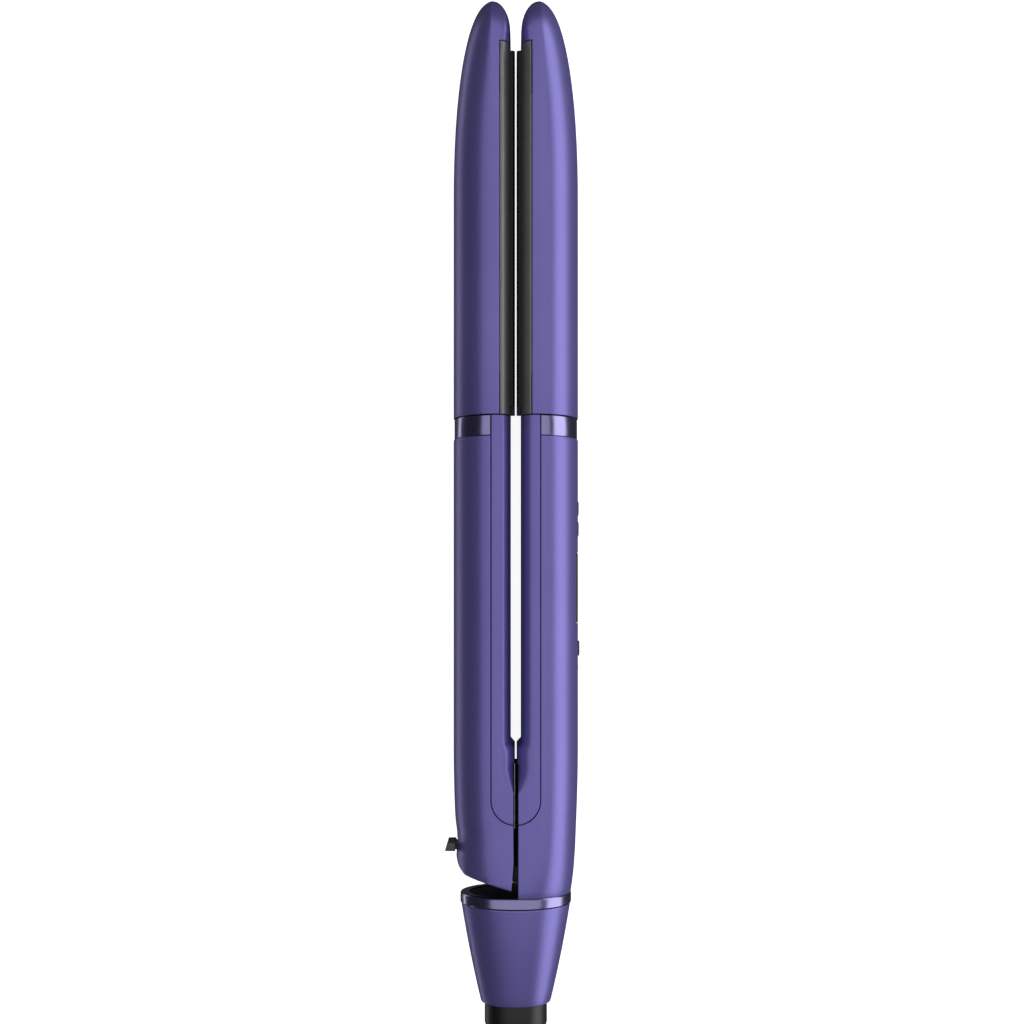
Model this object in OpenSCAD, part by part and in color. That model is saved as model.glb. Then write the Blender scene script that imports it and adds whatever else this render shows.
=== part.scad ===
// Hair flat iron lying on its side: +Y is the tip, +Z is up, the hinge pin runs along Z.
// The plates meet on the plane x = 0. The arm at +X carries the controls and the tail,
// and the arm at -X swings on the hinge pin.

/* [Body] */
// Length from the arm tips to the end of the tail cone
body_length = 283.3; // [282:0.1:285]
// Distance from the middle plane to the outside of each arm
arm_reach = 17.7; // [17.4:0.1:18]
// Thickness of the arms along the hinge pin
arm_depth = 34.2; // [34:0.1:34.6]
// Distance from the middle plane to the inner face of each handle
handle_gap = 1.45; // [1.4:0.05:1.6]
// Wall thickness of the moulded shells
wall = 1.8; // [1.6:0.1:2]
// How far the metal band lies below the shells
band_recess = 0.25; // [0.1:0.05:0.4]

/* [Heating plates] */
// Length of each heating plate
plate_length = 99; // [96:0.5:99]
// Width of each heating plate
plate_width = 25.4; // [24:0.1:25.4]
// Space between the two closed plates
plate_gap = 0.46; // [0.4:0.02:0.6]
// How far each plate can give into its arm
plate_float = 0.8; // [0.4:0.1:0.8]

/* [Hinge] */
// Radius of the hinge pin
pin_r = 2; // [1.8:0.1:2]
// Radial clearance of the bushes on the pin
pin_fit = 0.05; // [0.02:0.01:0.08]
// Radius of the hinge knuckles
knuckle_r = 4.4; // [4.2:0.1:4.5]

/* [Controls] */
// Radius of the three push buttons
button_r = 2.2; // [2:0.1:2.2]
// Radial clearance round a button
button_fit = 0.08; // [0.05:0.01:0.1]
// How far the power button stands out
power_proud = 0.4; // [0.2:0.05:0.5]
// How far the plus and minus buttons stand out
step_proud = 0.2; // [0.1:0.05:0.3]

/* [Cord] */
// Diameter of the mains cord
cord_d = 6; // [5.8:0.1:6]
// Length of the strain relief outside the tail
relief_length = 42.4; // [42.4:0.1:42.8]
// Distance between the two plug pins
pin_pitch = 18.6; // [18:0.1:19]

/* [Hidden] */
$fn = 48;
tiny = 0.05;
tip_y = body_length / 2;
tail_y = -body_length / 2;
mid_z = arm_depth / 2;
half_depth = arm_depth / 2;

// Cross-section of an arm: half an ellipse with flat flanks
crown_x = 5.8;
crown_a = arm_reach - crown_x;
edge_x = 3.8;
edge_z = 8.4;

// Stations along the arm
carrier_top = 126.85;
band_top = 23.7;
band_low = 17.9;
seam_x = 6.7;
arc_y = -83.1;
arc_r = 6.65;
hinge_y = -101.6;
collar_top = -110.3;
collar_low = -113.4;
tail_start = -70;
carrier_seam = 4.4;
edge_end = -77;

// Plan and side view of the pointed arm tips
apex_x = 6.9;
ogive_length = 56;
ogive_power = 2.2;
nose_length = 9.5;
crest_length = 12;
crest_power = 2.4;
tail_pinch = 1.75;
tail_thin = 1.5;
tail_power = 1.8;

// Heating plate stack, measured outwards from the middle plane
plate_low = 26.2;
plate_top = plate_low + plate_length;
plate_face = plate_gap / 2;
plate_back = 2.1;
heater_back = 4.25;
clamp_back = 5.2;
pocket_floor = 8.4;
carrier_back = 9.4;
carrier_half = 13.7;
pocket_fit = 0.15;
screw_ys = [30.6, 120.6];
screw_boss_ends = [16.3, 14.6];
spring_ys = [48, 102];
lead_x = 7.4;
lead_z = 4.2;

// Controls on the +X arm
board_x = 11.6;
board_top = 12.8;
plus_y = -1.5;
minus_y = -7.3;
power_y = -41.2;
light_y = -46.5;
window = [-34, -14];
window_half = 5.6;
cover_screw_ys = [12.5, -68];
mains_x = 9.3;

// Lock on the -X arm
lock_y = -97;
lock_slot = [-101.2, -94.9];

// Colours
purple = "#6963A0";
metal_purple = "#9A92C8";
graphite = "#4A4A4E";
black = "#17171A";
steel = "#B9BBC0";
brass = "#C9A24A";
copper = "#B06A3A";
board_green = "#1F6B45";
mica = "#C8B79A";
nylon = "#E4E2DA";

// Free run of the cord from the strain relief to the hank
lead_points = [
    [0, -184.1, 17.1], [0, -190, 17.1], [0.4, -197, 16.9], [1.4, -204, 15.9],
    [3, -211, 14.1], [5.2, -218, 11.8], [7.8, -225, 9.4], [10.4, -232, 7.2],
    [12.8, -239, 5.3], [14.8, -246, 4], [16.3, -253, 3.3], [17.3, -260, 3.05], [17.7, -264, 3]
];

// Hank of cord: two round lobes and a tied waist
hank_y = -272;
hank_run = 120;
lobe_r = 23;
waist_half = 9;
hank_height = 31;
hank_mid = hank_y - hank_run / 2;
tie_width = 14;
tie_wall = 1.2;

// Two-pin plug lying on the hank
plug_width = 35.3;
plug_height = 13.7;
plug_rear = -346;
plug_body_length = 36;
plug_neck = 8;
plug_pin_r = 2;
plug_shank_r = 1.6;
plug_pin_length = 19;
plug_z = hank_height + tie_wall + 0.2 + plug_height / 2;

// ---- Helpers ----

// Mirrors a shape that is drawn on the +X arm onto the other arm
module on_arm(side) {
    mirror([side < 0 ? 1 : 0, 0, 0]) children();
}

// Box between two corners, with z measured from the middle of the arm
module block(low, high) {
    translate([low[0], low[1], mid_z + low[2]])
        cube([high[0] - low[0], high[1] - low[1], high[2] - low[2]]);
}

// Round bar along X
module bar_x(x0, x1, y, z, r) {
    translate([x0, y, mid_z + z]) rotate([0, 90, 0]) cylinder(h = x1 - x0, r = r);
}

// Round bar along Y
module bar_y(x, y0, y1, z, r) {
    translate([x, y1, mid_z + z]) rotate([90, 0, 0]) cylinder(h = y1 - y0, r = r);
}

// Round bar along Z on the hinge line
module bar_z(z0, z1, r) {
    translate([0, hinge_y, mid_z + z0]) cylinder(h = z1 - z0, r = r);
}

// Body turned about the long axis from points of radius and y
module turned(profile) {
    translate([0, 0, mid_z]) rotate([-90, 0, 0]) rotate_extrude($fn = 72)
        polygon(profile);
}

// Tube of a given radius and number of sides along a list of points
function unit(v) = v / norm(v);
function heading(p, i) = unit(p[min(i + 1, len(p) - 1)] - p[max(i - 1, 0)]);
function side_of(h) = abs(h[2]) > 0.9 ? unit(cross(h, [0, 1, 0])) : unit(cross(h, [0, 0, 1]));
function ring_at(p, i, r, n) = let (h = heading(p, i), u = side_of(h), v = cross(u, h))
    [for (k = [0:n - 1]) p[i] + r * cos(360 * k / n) * u + r * sin(360 * k / n) * v];

module tube_along(p, r, n) {
    last = len(p) - 1;
    points = [for (i = [0:last]) each ring_at(p, i, r, n)];
    sides = [for (i = [0:last - 1], k = [0:n - 1])
        [i * n + k, i * n + (k + 1) % n, (i + 1) * n + (k + 1) % n, (i + 1) * n + k]];
    start = [for (k = [n - 1:-1:0]) k];
    end = [for (k = [0:n - 1]) last * n + k];
    polyhedron(points, concat([start], sides, [end]), convexity = 10);
}

// ---- Outer form of an arm ----

function bulge(s, span, power) = pow(1 - pow(1 - min(1, s / span), power), 1 / power);
function tail_share(y) = pow(max(0, (tail_start - y) / (tail_start - collar_top)), tail_power);

// Slice across the arm
module arm_section(inset, inner_x, rounded) {
    a = crown_a - inset;
    b = half_depth - inset;
    crown = [for (t = [-90:10:90]) [crown_x + a * cos(t), b * sin(t)]];
    ex = edge_x - inset;
    ez = edge_z - inset;
    top_edge = [for (t = [90:11.25:180]) [inner_x + ex * (1 + cos(t)), b - ez * (1 - sin(t))]];
    low_edge = [for (t = [180:11.25:270]) [inner_x + ex * (1 + cos(t)), ez * (1 + sin(t)) - b]];
    sharp = [[inner_x, b], [inner_x, -b]];
    polygon(concat(crown, rounded ? concat(top_edge, low_edge) : sharp));
}

// Plan of the arm from above
module arm_plan(inset) {
    top = tip_y - 3 * inset;
    outer = [for (y = [collar_top - 1, -106, -100, -94, -88, -80, tail_start])
        [arm_reach - inset - tail_pinch * tail_share(y), y]];
    ogive = [for (s = [ogive_length, 46, 36, 27, 19, 13, 8, 4.5, 2, 0.7])
        [apex_x + (arm_reach - inset - apex_x) * bulge(s, ogive_length, ogive_power), top - s]];
    nose = [for (s = [0, 0.3, 1, 2.2, 4, 6.5, nose_length])
        [apex_x - (apex_x - handle_gap) * bulge(s, nose_length, 2), top - s]];
    inner = [[handle_gap, carrier_top], [-3, carrier_top], [-3, collar_top - 1]];
    polygon(concat(outer, ogive, nose, inner));
}

// Side view of the arm
module arm_side_view(inset) {
    top = tip_y - 3 * inset;
    tail = [for (y = [collar_top - 1, -104, -96, -86, tail_start])
        [y, half_depth - inset - tail_thin * tail_share(y)]];
    crest = [for (s = [crest_length, 15, 10.5, 7, 4, 2, 0.8, 0.2, 0])
        [top - s, (half_depth - inset) * bulge(s, crest_length, crest_power)]];
    upper = concat(tail, crest);
    lower = [for (i = [len(upper) - 2:-1:0]) [upper[i][0], -upper[i][1]]];
    polygon(concat(upper, lower));
}

module arm_form(inset, inner_x, rounded) {
    intersection() {
        translate([0, tip_y, mid_z]) rotate([90, 0, 0]) linear_extrude(tip_y - collar_top)
            arm_section(inset, inner_x, rounded);
        translate([0, 0, -1]) linear_extrude(arm_depth + 2) arm_plan(inset);
        translate([-4, 0, mid_z]) rotate([90, 0, 90]) linear_extrude(arm_reach + 6)
            arm_side_view(inset);
        turned([[0, collar_top - 1], [15.7 - inset, collar_top], [16.9 - inset, -104],
            [18.2 - inset, -97], [20.5, -89], [30, -80], [30, 150], [0, 150]]);
    }
}

// Footprint of the inner handle cover, with the rounded lower end
module cover_plan(grow) {
    translate([-2, arc_y]) square([2 + arc_r + grow, band_top - arc_y + 1]);
    intersection() {
        translate([0, arc_y]) circle(r = arc_r + grow);
        translate([-2, arc_y - 20]) square([20, 21]);
    }
}

// ---- Parts that both arms have ----

module head_shell(side) {
    color(purple) on_arm(side) difference() {
        union() {
            difference() {
                intersection() {
                    arm_form(0, handle_gap, true);
                    block([-1, band_top + tiny, -20], [20, tip_y + 1, 20]);
                }
                block([-1, 0, -20], [carrier_seam + tiny, carrier_top + tiny, 20]);
                intersection() {
                    arm_form(wall, 0, false);
                    block([-1, 0, -20], [20, carrier_top, 20]);
                }
            }
            for (i = [0, 1]) bar_x(carrier_back + tiny, screw_boss_ends[i], screw_ys[i], 0, 2.8);
        }
        for (y = screw_ys) bar_x(carrier_back, 13.6, y, 0, 1.25);
    }
}

module band(side) {
    color(metal_purple) on_arm(side) difference() {
        intersection() {
            arm_form(band_recess, handle_gap, false);
            block([seam_x + tiny, band_low + tiny, -20], [20, band_top - tiny, 20]);
        }
        arm_form(wall + tiny, 0, false);
    }
}

// Trough of the handle with a spigot that holds the band and the head shell
module handle_trough() {
    difference() {
        intersection() {
            arm_form(0, 0.75, false);
            block([0, collar_top + tiny, -20], [20, band_low - tiny, 20]);
        }
        arm_form(wall, 0, false);
        translate([0, 0, -1]) linear_extrude(arm_depth + 2) cover_plan(0.1);
    }
    difference() {
        intersection() {
            arm_form(wall - tiny, 0, false);
            block([seam_x + 0.1, band_low - 8, -20], [20, band_low - tiny, 20]);
        }
        arm_form(wall + 1.1, 0, false);
    }
    difference() {
        intersection() {
            arm_form(wall + 0.1, 0, false);
            block([10, band_low - 1, -20], [20, band_top + 3.7, 20]);
        }
        arm_form(wall + 1.1, 0, false);
    }
    for (y = cover_screw_ys) bar_x(handle_gap + wall + 0.1, 16.2, y, 0, 2.8);
}

module inner_cover(side) {
    color(purple) on_arm(side) difference() {
        union() {
            intersection() {
                arm_form(0, handle_gap, true);
                translate([0, 0, -1]) linear_extrude(arm_depth + 2) cover_plan(0);
                block([-1, edge_end, -20], [20, band_top - tiny, 20]);
            }
            intersection() {
                arm_form(0, handle_gap, false);
                translate([0, 0, -1]) linear_extrude(arm_depth + 2) cover_plan(0);
                block([-1, -95, -20], [20, edge_end, 20]);
            }
            // Raised pad that the two handles close on
            translate([0, 0, mid_z - 14]) linear_extrude(28)
                polygon([[0.24, -68], [0.24, -74], [1.6, -75.4], [3, -75.4], [3, -65], [1.6, -65]]);
        }
        intersection() {
            arm_form(wall, handle_gap + wall, true);
            translate([0, 0, -1]) linear_extrude(arm_depth + 2) {
                translate([0, arc_y]) square([10, band_top - arc_y + 1]);
                translate([0, arc_y]) circle(r = arc_r - wall);
            }
        }
        for (y = cover_screw_ys) {
            bar_x(0, 8, y, 0, 1.4);
            bar_x(0, 2.7, y, 0, 2.5);
        }
    }
}

module cover_screws(side) {
    color(steel) on_arm(side) for (y = cover_screw_ys) {
        difference() {
            bar_x(1.6, 2.65, y, 0, 2.3);
            block([1.5, y - 1.5, -0.3], [2.1, y + 1.5, 0.3]);
            block([1.5, y - 0.3, -1.5], [2.1, y + 0.3, 1.5]);
        }
        bar_x(2.6, 12, y, 0, 1.2);
    }
}

module plate_carrier(side) {
    color(graphite) on_arm(side) difference() {
        union() {
            intersection() {
                arm_form(0, handle_gap, true);
                block([0, band_top + tiny, -20], [carrier_seam, carrier_top, 20]);
            }
            block([carrier_seam - 0.5, band_top + 1, -carrier_half],
                [carrier_back, carrier_top - 0.9, carrier_half]);
        }
        block([-1, plate_low - pocket_fit, -plate_width / 2 - pocket_fit],
            [pocket_floor, plate_top + pocket_fit, plate_width / 2 + pocket_fit]);
        block([plate_back - 0.2, plate_low - 1.2, -5], [5.4, plate_top + 1.2, 5]);
        for (z = [-lead_z, lead_z]) bar_y(lead_x, band_top - 1, plate_low + 1, z, 0.9);
        for (y = screw_ys) bar_x(pocket_floor - 1, carrier_back + 1, y, 0, 1.4);
    }
}

module head_screws(side) {
    color(steel) on_arm(side) for (y = screw_ys) {
        bar_x(pocket_floor - 1.1, pocket_floor - tiny, y, 0, 1.9);
        bar_x(pocket_floor - 0.1, 13.4, y, 0, 1.2);
    }
}

module heating_plate(side) {
    color(black) on_arm(side) {
        translate([0, 0, mid_z - plate_width / 2]) linear_extrude(plate_width)
            polygon([[plate_face, plate_low + 1], [plate_face, plate_top - 1.2],
                [plate_face + 0.8, plate_top], [plate_back, plate_top],
                [plate_back, plate_low], [plate_face + 0.6, plate_low]]);
        for (z = [-11.9, 10.9])
            block([plate_back - 0.1, plate_low + 3, z], [4.2, plate_top - 3, z + 1]);
        block([plate_back - 0.1, plate_low - 0.9, -4.6], [3.2, plate_low + 2, 4.6]);
        block([plate_back - 0.1, plate_top - 2, -4.6], [3.2, plate_top + 0.9, 4.6]);
    }
}

module heater(side) {
    color(mica) on_arm(side) block([plate_back + 0.02, 41, -7], [heater_back, 109, 7]);
}

module heater_clamp(side) {
    color(steel) on_arm(side) {
        block([heater_back + 0.02, 36, -9.5], [clamp_back, 114, 9.5]);
        for (y = spring_ys) bar_x(clamp_back - 0.1, 6.2, y, 0, 1.2);
    }
}

module thermistor(side) {
    color(brass) on_arm(side) bar_y(3, 111, 113, 11.9 - 3.4, 0.85);
}

// Three turns of wire between the clamp and the carrier floor
function spring_coil(y) = [for (i = [0:42])
    [clamp_back + 0.32 + (pocket_floor - clamp_back - 0.64) * i / 42,
        y + 1.9 * cos(360 * i / 14), mid_z + 1.9 * sin(360 * i / 14)]];

module plate_springs(side) {
    color(steel) on_arm(side) for (y = spring_ys) tube_along(spring_coil(y), 0.25, 6);
}

// ---- Fixed arm ----

module fixed_handle_shell() {
    color(purple) difference() {
        handle_trough();
        for (y = cover_screw_ys) bar_x(3, 13, y, 0, 1.25);
        for (y = [plus_y, minus_y, power_y]) bar_x(14, 20, y, 0, button_r + button_fit);
        bar_x(14, 20, light_y, 0, 0.85);
        block([14, window[0] - tiny, -window_half - tiny], [20, window[1] + tiny, window_half + tiny]);
    }
}

module fixed_heater_leads() {
    color("#B03A30") for (z = [-lead_z, lead_z]) bar_y(lead_x, -20, 34, z, 0.7);
}

module control_board() {
    color(board_green) difference() {
        block([board_x, -60, -9.5], [board_top, 4, 9.5]);
        for (y = [-57, -28], z = [-7.5, 7.5]) bar_x(board_x - 1, board_top + 1, y, z, 0.8);
    }
}

module power_module() {
    color(black) block([8.9, -50, -7], [board_x - tiny, -30, 2]);
    color(copper) bar_x(8.2, board_x - tiny, -40, 6, 2.6);
}

module display_module() {
    color("#8FA39A") block([board_top + tiny, window[0] + 1, -5.2], [14.6, window[1] - 1, 5.2]);
}

module display_lens() {
    color("#101014") difference() {
        intersection() {
            arm_form(0, 0, false);
            block([12, window[0], -window_half], [20, window[1], window_half]);
        }
        arm_form(1.5, 0, false);
    }
}

module tact_switches() {
    color(black) for (y = [plus_y, minus_y, power_y])
        block([board_top + tiny, y - 2.2, -2.2], [13.6, y + 2.2, 2.2]);
    color(nylon) for (y = [plus_y, minus_y, power_y]) bar_x(13.5, 14.1, y, 0, 1);
}

module status_light() {
    color("#D8E4FF") bar_x(board_top + tiny, arm_reach + 0.05, light_y, 0, 0.8);
}

module push_button(y, proud) {
    color(graphite) bar_x(15.4, arm_reach + proud, y, 0, button_r);
    color(graphite) bar_x(14.7, 15.5, y, 0, button_r + 0.55);
}

// ---- Moving arm ----

module moving_handle_shell() {
    color(purple) difference() {
        on_arm(-1) handle_trough();
        block([-1.25, -115, -20], [0, arc_y, 20]);
        // Slanted foot that clears the collar when the arm opens
        translate([0, 0, -1]) linear_extrude(arm_depth + 2)
            polygon([[0, -108.2], [-12.6, -104.8], [-16.4, -100.6], [-25, -92], [-25, -120], [0, -120]]);
        for (y = cover_screw_ys) bar_x(-13, -3, y, 0, 1.25);
        block([-20, lock_slot[0], -3.3], [-12, lock_slot[1], 3.3]);
    }
}

function moving_lead(z) = [
    [-lead_x, 34, mid_z + z * lead_z], [-lead_x, 0, mid_z + z * lead_z],
    [-lead_x, -40, mid_z + z * lead_z], [-lead_x, -58, mid_z + z * 4.5],
    [-lead_x, -68, mid_z + z * 5.4], [-lead_x, -77, mid_z + z * 6.3],
    [-lead_x, -84, mid_z + z * 6.6], [-7.1, -88, mid_z + z * 6.6], [-6.1, -91.2, mid_z + z * 6.6],
    [-4.2, -93.4, mid_z + z * 6.6], [-1.6, -94.4, mid_z + z * 6.6], [1.4, -94.6, mid_z + z * 6.6],
    [3.4, -94.4, mid_z + z * 6.6]
];

module moving_heater_leads() {
    color("#B03A30") for (z = [-1, 1]) tube_along(moving_lead(z), 0.7, 8);
}

// ---- Hinge ----

module hinge_bracket() {
    color(steel) difference() {
        union() {
            for (z = [-12.1, 9.1]) {
                bar_z(z, z + 3, knuckle_r);
                block([0, hinge_y - knuckle_r, z], [5.4, hinge_y + 2, z + 3]);
            }
            block([5.2, -107, -12.1], [7, -97.6, 12.1]);
            for (z = [-9.4, 5.2]) {
                block([5.2, -109.5, z], [7, -106.8, z + 4.2]);
                block([5.2, collar_top - 0.25, z], [9, -109, z + 4.2]);
            }
        }
        bar_z(-20, 20, pin_r);
    }
}

module hinge_pin() {
    color(steel) difference() {
        union() {
            bar_z(-13.9, 12.2, pin_r);
            bar_z(12.15, 13.3, pin_r + 1.1);
        }
        difference() {
            bar_z(-13.3, -12.6, pin_r + 1);
            bar_z(-13.4, -12.5, pin_r - 0.4);
        }
    }
}

module hinge_clip() {
    color(black) difference() {
        bar_z(-13.25, -12.65, pin_r + 1.3);
        bar_z(-14, -12, pin_r - 0.38);
        translate([-0.9, hinge_y - 6, mid_z - 14]) cube([1.8, 6, 2]);
    }
}

module hinge_lug() {
    color(steel) difference() {
        union() {
            for (z = [-8.9, 4.9]) {
                bar_z(z, z + 4, knuckle_r);
                block([-5.4, hinge_y - knuckle_r, z], [0, hinge_y + 2, z + 4]);
            }
            block([-7, -105.4, -8.9], [-5.2, -97.6, 8.9]);
            for (z = [-7.9, 6.4]) block([-12.4, -103.4, z], [-6.9, -98.6, z + 1.5]);
        }
        bar_z(-20, 20, pin_r + 0.6);
    }
}

module hinge_bushes() {
    color(brass) for (z = [-8.9, 4.9]) difference() {
        bar_z(z, z + 4, pin_r + 0.58);
        bar_z(z - 1, z + 5, pin_r + pin_fit);
    }
}

// Coil round the pin with one leg against each half of the hinge
spring_turns = 5;
spring_steps = 16 * spring_turns;
function hinge_coil() = concat(
    [[4.6, hinge_y - 2.6, mid_z - 3.4], [2.6, hinge_y - 3.2, mid_z - 3.4]],
    [for (i = [3:spring_steps + 11]) [3.5 * cos(22.5 * i - 130), hinge_y + 3.5 * sin(22.5 * i - 130),
        mid_z - 3.4 + 6.8 * i / (spring_steps + 13)]],
    [[-4.6, hinge_y + 2.4, mid_z + 3.4]]);

module hinge_spring() {
    color(steel) tube_along(hinge_coil(), 0.5, 6);
}

// Soft strips that close the slit between the handles round the hinge, one near each flank
module fixed_slit_seal() {
    color(black) translate([0, 0, mid_z + 13.5]) linear_extrude(1.4)
        polygon([[-0.9, -75.6], [-0.9, -101.8], [0.3, -107], [0.74, -107], [0.74, -89.86],
            [handle_gap - tiny, -89.5], [handle_gap - tiny, -75.6]]);
}

module moving_slit_seal() {
    color(black) translate([0, 0, mid_z - 14.9]) linear_extrude(1.4)
        polygon([[0.2, -75.6], [0.2, -98], [-1.24, -98], [-1.24, -89.86],
            [tiny - handle_gap, -89.5], [tiny - handle_gap, -75.6]]);
}

// ---- Lock ----

module lock_slider() {
    color(black) {
        // Ridged thumb lever outside the shell
        translate([0, 0, mid_z - 6]) linear_extrude(12)
            polygon([[-17.05, -98.8], [-17.05, -95.2], [-19.6, -95.7], [-20, -96.3], [-20, -97.9], [-19.5, -98.5]]);
        block([-17.1, -98.3, -3], [-12.8, -95.7, 3]);
        block([-13.8, -101, -5.4], [-12.8, -92.4, 5.4]);
        // Hook that reaches across the hinge line
        block([-12.9, -94.6, -1.7], [3.3, -93, 1.7]);
        block([2, -93.1, -1.7], [3.3, -92.2, 1.7]);
    }
}

module lock_leaf_spring() {
    color(steel) {
        block([-12.7, -89.6, -4.6], [-12.35, -88, 4.6]);
        block([-12.7, -96, -4.6], [-12.35, -88.4, -2.6]);
        block([-12.7, -96, 2.6], [-12.35, -88.4, 4.6]);
    }
}

module lock_catch() {
    color(steel) {
        block([5.3, -97.5, -2.2], [6.3, -90.6, 2.2]);
        block([1.4, -91.4, -2.2], [5.4, -90.6, 2.2]);
    }
}

// ---- Tail ----

function cone_r(y) = let (d = collar_low - y) 15.55 - 0.157 * d - 0.0015 * d * d;

module collar_ring() {
    color(metal_purple) turned([
        [13.2, collar_top], [15.5, collar_top], [15.76, collar_top - 0.25],
        [15.76, collar_low + 0.25], [15.6, collar_low + tiny], [13.2, collar_low + tiny]
    ]);
}

module tail_bulkhead() {
    color(black) difference() {
        turned([[0, collar_top - 0.3], [13.15, collar_top - 0.3], [13.15, collar_low + 0.1], [0, collar_low + 0.1]]);
        for (z = [-lead_z, lead_z]) bar_y(mains_x, -120, -100, z, 0.9);
    }
}

module tail_cone() {
    steps = [0, 4, 8, 12, 16, 20, 24, 27.3];
    outer = [for (d = steps) [cone_r(collar_low - d), collar_low - d]];
    chamber = [for (d = [22.9, 20, 16, 12, 8, 4, 0]) [cone_r(collar_low - d) - 1.4, collar_low - d]];
    color(purple) turned(concat(outer,
        [[9.85, tail_y + 0.3], [9.4, tail_y], [8.98, tail_y], [8.98, collar_low - 23.2], [9.7, collar_low - 23.2]],
        chamber));
}

module brush_block() {
    color(black) block([8.6, -128.4, -5], [9.8, -118, 5]);
}

module contact_brushes() {
    color(brass) for (y = [-126.1, -121.7]) block([7.35, y - 0.5, -1.2], [8.58, y + 0.5, 1.2]);
}

module mains_leads() {
    color("#3A4FA0") for (z = [-lead_z, lead_z]) bar_y(mains_x, -117.95, -56, z, 0.7);
}

module swivel_hub() {
    color(nylon) turned([[0, -119], [6.4, -119], [6.4, -135.2], [9.55, -135.2], [9.55, -136.5], [0, -136.5]]);
}

module slip_rings() {
    color(brass) for (y = [-126.1, -121.7])
        turned([[6.42, y + 0.9], [7.2, y + 0.9], [7.2, y - 0.9], [6.42, y - 0.9]]);
}

// Collar that fills the end of the cone, then a ribbed taper
module strain_relief() {
    relief_end = tail_y - relief_length;
    taper_top = tail_y - 9.4;
    pitch = 4.6;
    function taper_r(y) = 6.3 - 2 * (taper_top - y) / (taper_top - relief_end);
    ribs = [for (i = [0:5]) let (y = taper_top - 2.6 - i * pitch)
        each [[taper_r(y), y], [taper_r(y) - 1, y - 0.3], [taper_r(y) - 1, y - 1.9], [taper_r(y - 2.2), y - 2.2]]];
    color(black) turned(concat(
        [[0, -136.52], [8.9, -136.52], [8.9, tail_y - 6.2], [8.3, tail_y - 7.6], [7, tail_y - 8.8], [6.4, taper_top]],
        ribs, [[4.4, relief_end + 0.4], [4, relief_end], [0, relief_end]]));
}

// ---- Cord ----

module cord_lead() {
    color(black) tube_along(lead_points, cord_d / 2, 10);
}

// Outline of the hank: half circles at both ends and a smooth waist between them
module hank_outline() {
    n = 16;
    right = [for (i = [0:n])
        [waist_half + (lobe_r - waist_half) * pow(cos(180 * i / n), 2), hank_y - hank_run * i / n]];
    low_end = [for (t = [-15:-15:-165]) [lobe_r * cos(t), hank_y - hank_run + lobe_r * sin(t)]];
    left = [for (i = [n:-1:0]) [-right[i][0], right[i][1]]];
    top_end = [for (t = [165:-15:15]) [lobe_r * cos(t), hank_y + lobe_r * sin(t)]];
    polygon(concat(right, low_end, left, top_end));
}

module cord_hank() {
    color(black) linear_extrude(hank_height) hank_outline();
}

module cord_tie() {
    half = waist_half + 0.9;
    color("#26262A") translate([0, hank_mid + tie_width / 2, 0]) rotate([90, 0, 0])
        linear_extrude(tie_width) difference() {
            translate([-half - tie_wall, 0]) square([2 * (half + tie_wall), hank_height + tie_wall + 0.1]);
            translate([-half, -1]) square([2 * half, hank_height + 1.1]);
        }
}

module plug_body() {
    half = plug_width / 2;
    front = plug_rear + plug_neck + plug_body_length;
    color(black) difference() {
        union() {
            translate([0, 0, plug_z - plug_height / 2]) linear_extrude(plug_height)
                polygon([[-6, plug_rear + plug_neck], [-half + 4, plug_rear + plug_neck + 12], [-half, front - 12],
                    [-half, front], [half, front], [half, front - 12], [half - 4, plug_rear + plug_neck + 12],
                    [6, plug_rear + plug_neck]]);
            translate([0, plug_rear + plug_neck + 1, plug_z]) rotate([90, 0, 0])
                cylinder(h = plug_neck + 1, r1 = 5.4, r2 = 4.2);
        }
        for (x = [-1, 1]) translate([x * pin_pitch / 2, front + 1, plug_z]) rotate([90, 0, 0])
            cylinder(h = 9, r = plug_shank_r);
    }
}

module plug_pins() {
    front = plug_rear + plug_neck + plug_body_length;
    color(steel) for (x = [-1, 1]) translate([x * pin_pitch / 2, front, plug_z]) {
        rotate([-90, 0, 0]) cylinder(h = plug_pin_length, r = plug_pin_r);
        translate([0, 0.5, 0]) rotate([90, 0, 0]) cylinder(h = 8.3, r = plug_shank_r - 0.02);
    }
}

// ---- Nodes ----

head_shell(1);  // fixed_head_shell
band(1);  // fixed_band
fixed_handle_shell();
inner_cover(1);  // fixed_inner_cover
plate_carrier(1);  // fixed_plate_carrier
head_screws(1);  // fixed_head_screws
cover_screws(1);  // fixed_cover_screws
fixed_heater_leads();
heating_plate(1);  // fixed_plate
heater(1);  // fixed_heater
heater_clamp(1);  // fixed_heater_clamp
thermistor(1);  // fixed_thermistor
plate_springs(1);  // fixed_plate_springs
head_shell(-1);  // moving_head_shell
band(-1);  // moving_band
moving_handle_shell();
inner_cover(-1);  // moving_inner_cover
plate_carrier(-1);  // moving_plate_carrier
head_screws(-1);  // moving_head_screws
cover_screws(-1);  // moving_cover_screws
moving_heater_leads();
heating_plate(-1);  // moving_plate
heater(-1);  // moving_heater
heater_clamp(-1);  // moving_heater_clamp
thermistor(-1);  // moving_thermistor
plate_springs(-1);  // moving_plate_springs
control_board();
power_module();
display_module();
display_lens();
tact_switches();
status_light();
push_button(power_y, power_proud);  // power_button
push_button(plus_y, step_proud);  // plus_button
push_button(minus_y, step_proud);  // minus_button
hinge_bracket();
hinge_lug();
hinge_bushes();
hinge_pin();
hinge_clip();
hinge_spring();
fixed_slit_seal();
moving_slit_seal();
lock_slider();
lock_leaf_spring();
lock_catch();
collar_ring();
tail_bulkhead();
tail_cone();
brush_block();
contact_brushes();
mains_leads();
swivel_hub();
slip_rings();
strain_relief();
cord_lead();
cord_hank();
cord_tie();
plug_body();
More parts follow.
